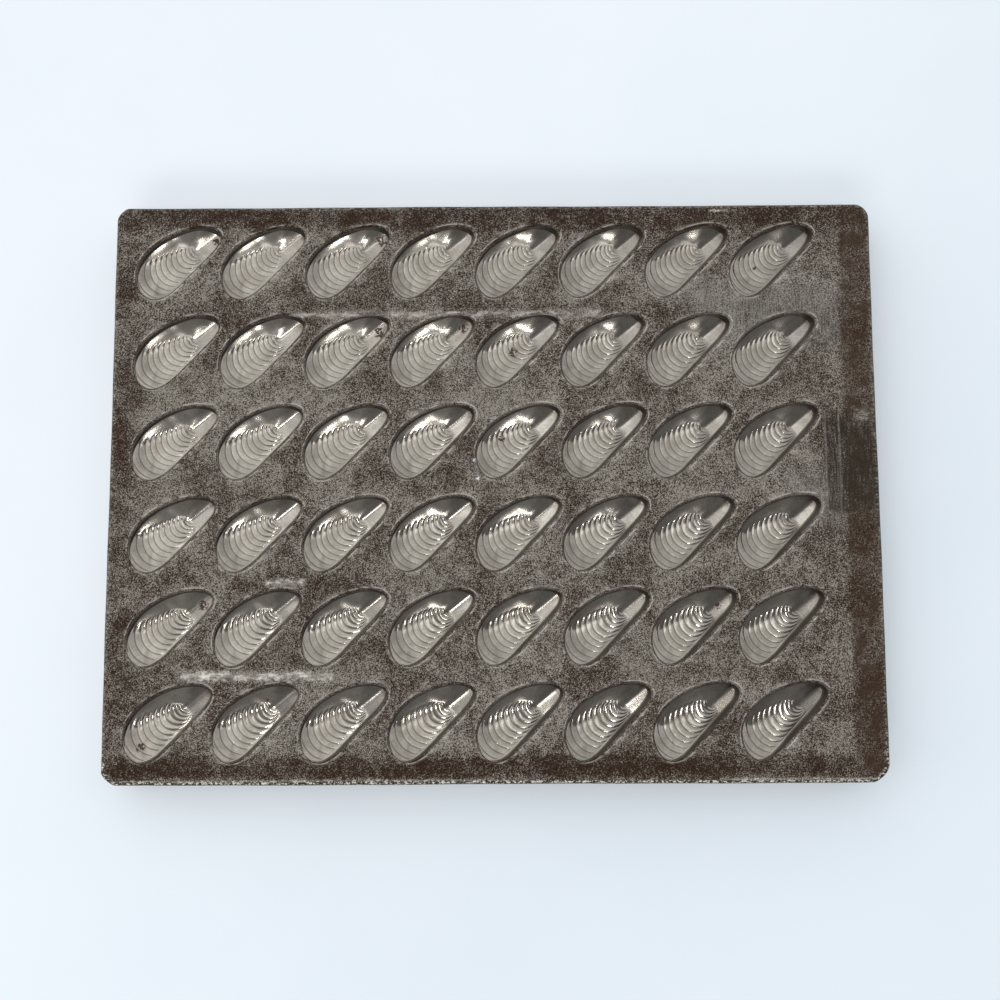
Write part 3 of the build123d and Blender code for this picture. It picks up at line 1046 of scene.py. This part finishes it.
class MOLD_OT_stage(bpy.types.Operator):
    """Make the floor, the lamps, the world and the camera"""

    bl_idname = "mold.stage"
    bl_label = "Floor, Lights and Camera"

    def execute(self, context):
        scene = context.scene
        mesh = bpy.data.meshes.new("floor")
        corners = [(x * FLOOR_REACH, y * FLOOR_REACH, 0) for x, y in ((-1, -1), (1, -1), (1, 1), (-1, 1))]
        mesh.from_pydata(corners, [], [(0, 1, 2, 3)])
        mesh.materials.append(matte_backdrop_paper())
        floor = bpy.data.objects.new("floor", mesh)
        scene.collection.objects.link(floor)
        scene.world = studio_world()
        for name, place, size, power, mirrored in LAMPS:
            lamp = bpy.data.lights.new(name, "AREA")
            lamp.shape = "RECTANGLE"
            lamp.size, lamp.size_y = size
            lamp.energy = power
            holder = bpy.data.objects.new(name, lamp)
            holder.location = place
            holder.rotation_euler = (-Vector(place)).to_track_quat("-Z", "Y").to_euler()
            holder.visible_glossy = mirrored
            scene.collection.objects.link(holder)
        data = bpy.data.cameras.new("camera")
        data.lens = CAMERA_LENS
        camera = bpy.data.objects.new("camera", data)
        place, aim = Vector(CAMERA_PLACE) * MM, Vector(CAMERA_AIM) * MM
        look = (aim - place).normalized()
        right = look.cross(Vector((0, 1, 0))).normalized()
        up = right.cross(look)
        c, s = math.cos(CAMERA_ROLL), math.sin(CAMERA_ROLL)
        right, up = right * c + up * s, up * c - right * s
        turn = Matrix((right, up, -look)).transposed()
        camera.matrix_world = Matrix.Translation(place) @ turn.to_4x4()
        scene.collection.objects.link(camera)
        scene.camera = camera
        scene.view_settings.view_transform = "Standard"
        return {"FINISHED"}


class MOLD_PT_panel(bpy.types.Panel):
    """The mold's pieces and settings"""

    bl_label = "Mussel Chocolate Mold"
    bl_idname = "MOLD_PT_panel"
    bl_space_type = "VIEW_3D"
    bl_region_type = "UI"
    bl_category = "Mold"

    def draw(self, context):
        for group in ("mold_shell", "mold_plate", "mold_colours"):
            box = self.layout.box()
            settings = getattr(context.scene, group)
            for name in settings.bl_rna.properties.keys():
                if name not in ("rna_type", "name"):
                    box.prop(settings, name)
        for operator in OPERATORS:
            self.layout.operator(operator.bl_idname)


OPERATORS = (MOLD_OT_stage, MOLD_OT_plate, MOLD_OT_cups, MOLD_OT_bars)
GROUPS = {"mold_shell": MoldShellSettings, "mold_plate": MoldPlateSettings, "mold_colours": MoldColourSettings}


def register():
    for group in GROUPS.values():
        bpy.utils.register_class(group)
    for name, group in GROUPS.items():
        setattr(bpy.types.Scene, name, bpy.props.PointerProperty(type=group))
    for made in (*OPERATORS, MOLD_PT_panel):
        bpy.utils.register_class(made)


def unregister():
    for made in reversed((*OPERATORS, MOLD_PT_panel)):
        bpy.utils.unregister_class(made)
    for name, group in GROUPS.items():
        delattr(bpy.types.Scene, name)
        bpy.utils.unregister_class(group)


def main():
    register()
    bpy.ops.mold.stage()
    bpy.ops.mold.plate()
    bpy.ops.mold.cups()
    bpy.ops.mold.bars()


if __name__ == "__main__":
    main()
